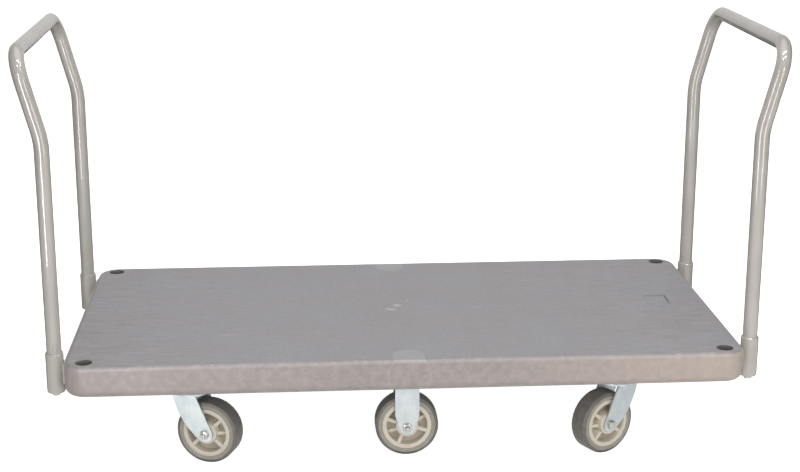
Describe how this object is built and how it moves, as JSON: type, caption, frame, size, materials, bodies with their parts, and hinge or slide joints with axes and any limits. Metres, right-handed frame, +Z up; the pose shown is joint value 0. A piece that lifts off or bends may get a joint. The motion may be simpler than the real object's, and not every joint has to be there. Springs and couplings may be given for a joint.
{
  "type": "platform cart",
  "caption": "Platform cart with a moulded grey deck, a bent tube handle standing in sockets at each end, and rubber wheels on swivel and rigid casters.",
  "frame": {"origin": "on the floor under the centre of the deck", "axes": "+X along the deck towards its right end, +Y towards its rear side, +Z up"},
  "size_m": [1.788, 0.8, 1.0005],
  "materials": {
    "deck_plastic": "fine moulded grain",
    "handle_paint": "gloss powder coat",
    "zinc_sheet": "bright zinc plate",
    "zinc_fastener": "zinc plate",
    "insert_brass": "plain",
    "wheel_tread": "matt",
    "wheel_core": "moulded",
    "bushing_plastic": "smooth"
  },
  "bodies": {
    "cart": {"deck": "deck_plastic", "caster_bolts": "zinc_fastener", "caster_inserts": "insert_brass", "end_plate_bolts": "zinc_fastener", "end_plate_inserts": "insert_brass", "handle_bolts": "zinc_fastener", "end_plate_left": "handle_paint", "end_plate_right": "handle_paint", "socket_front_left": "handle_paint", "socket_rear_left": "handle_paint", "socket_front_right": "handle_paint", "socket_rear_right": "handle_paint", "swivel_plate_front_left": "zinc_sheet", "swivel_plate_front_right": "zinc_sheet", "swivel_plate_rear_left": "zinc_sheet", "swivel_plate_rear_right": "zinc_sheet", "kingpins": "zinc_fastener", "swivel_race_balls": "zinc_fastener", "rigid_frame_front": "zinc_sheet", "rigid_frame_rear": "zinc_sheet", "axle_rigid_front": "zinc_fastener", "axle_rigid_rear": "zinc_fastener", "axle_sleeve_rigid_front": "zinc_fastener", "axle_sleeve_rigid_rear": "zinc_fastener"},
    "swivel_front_left": {"fork_front_left": "zinc_sheet", "axle_front_left": "zinc_fastener", "axle_sleeve_front_left": "zinc_fastener"},
    "swivel_front_right": {"fork_front_right": "zinc_sheet", "axle_front_right": "zinc_fastener", "axle_sleeve_front_right": "zinc_fastener"},
    "swivel_rear_left": {"fork_rear_left": "zinc_sheet", "axle_rear_left": "zinc_fastener", "axle_sleeve_rear_left": "zinc_fastener"},
    "swivel_rear_right": {"fork_rear_right": "zinc_sheet", "axle_rear_right": "zinc_fastener", "axle_sleeve_rear_right": "zinc_fastener"},
    "wheel_front_left": {"wheel_core_front_left": "wheel_core", "wheel_bushing_front_left": "bushing_plastic", "tread_front_left": "wheel_tread"},
    "wheel_front_right": {"wheel_core_front_right": "wheel_core", "wheel_bushing_front_right": "bushing_plastic", "tread_front_right": "wheel_tread"},
    "wheel_rear_left": {"wheel_core_rear_left": "wheel_core", "wheel_bushing_rear_left": "bushing_plastic", "tread_rear_left": "wheel_tread"},
    "wheel_rear_right": {"wheel_core_rear_right": "wheel_core", "wheel_bushing_rear_right": "bushing_plastic", "tread_rear_right": "wheel_tread"},
    "wheel_rigid_front": {"wheel_core_rigid_front": "wheel_core", "wheel_bushing_rigid_front": "bushing_plastic", "tread_rigid_front": "wheel_tread"},
    "wheel_rigid_rear": {"wheel_core_rigid_rear": "wheel_core", "wheel_bushing_rigid_rear": "bushing_plastic", "tread_rigid_rear": "wheel_tread"},
    "push_handle_left": {"handle_left": "handle_paint", "handle_plugs_left": "zinc_fastener"},
    "push_handle_right": {"handle_right": "handle_paint", "handle_plugs_right": "zinc_fastener"}
  },
  "joints": [
    {"name": "swivel_turn_front_left", "type": "hinge", "parent": "cart", "child": "swivel_front_left", "pos_m": [-0.512, -0.292, 0.179], "axis": [0, 0, 1], "continuous": true},
    {"name": "swivel_turn_front_right", "type": "hinge", "parent": "cart", "child": "swivel_front_right", "pos_m": [0.512, -0.292, 0.179], "axis": [0, 0, 1], "continuous": true},
    {"name": "swivel_turn_rear_left", "type": "hinge", "parent": "cart", "child": "swivel_rear_left", "pos_m": [-0.512, 0.292, 0.179], "axis": [0, 0, 1], "continuous": true},
    {"name": "swivel_turn_rear_right", "type": "hinge", "parent": "cart", "child": "swivel_rear_right", "pos_m": [0.512, 0.292, 0.179], "axis": [0, 0, 1], "continuous": true},
    {"name": "wheel_roll_front_left", "type": "hinge", "parent": "swivel_front_left", "child": "wheel_front_left", "pos_m": [-0.47065, -0.30705, 0.0762], "axis": [0.342, 0.9397, 0], "continuous": true},
    {"name": "wheel_roll_front_right", "type": "hinge", "parent": "swivel_front_right", "child": "wheel_front_right", "pos_m": [0.47352, -0.31333, 0.0762], "axis": [0.4848, -0.8746, 0], "continuous": true},
    {"name": "wheel_roll_rear_left", "type": "hinge", "parent": "swivel_rear_left", "child": "wheel_rear_left", "pos_m": [-0.46931, 0.30264, 0.0762], "axis": [-0.2419, 0.9703, 0], "continuous": true},
    {"name": "wheel_roll_rear_right", "type": "hinge", "parent": "swivel_rear_right", "child": "wheel_rear_right", "pos_m": [0.4712, 0.30848, 0.0762], "axis": [-0.3746, -0.9272, 0], "continuous": true},
    {"name": "wheel_roll_rigid_front", "type": "hinge", "parent": "cart", "child": "wheel_rigid_front", "pos_m": [0, -0.292, 0.0762], "axis": [0, 1, 0], "continuous": true},
    {"name": "wheel_roll_rigid_rear", "type": "hinge", "parent": "cart", "child": "wheel_rigid_rear", "pos_m": [0, 0.292, 0.0762], "axis": [0, 1, 0], "continuous": true},
    {"name": "handle_lift_left", "type": "slide", "parent": "cart", "child": "push_handle_left", "axis": [0, 0, 1], "range_m": [0, 0.14]},
    {"name": "handle_lift_right", "type": "slide", "parent": "cart", "child": "push_handle_right", "axis": [0, 0, 1], "range_m": [0, 0.14]}
  ]
}
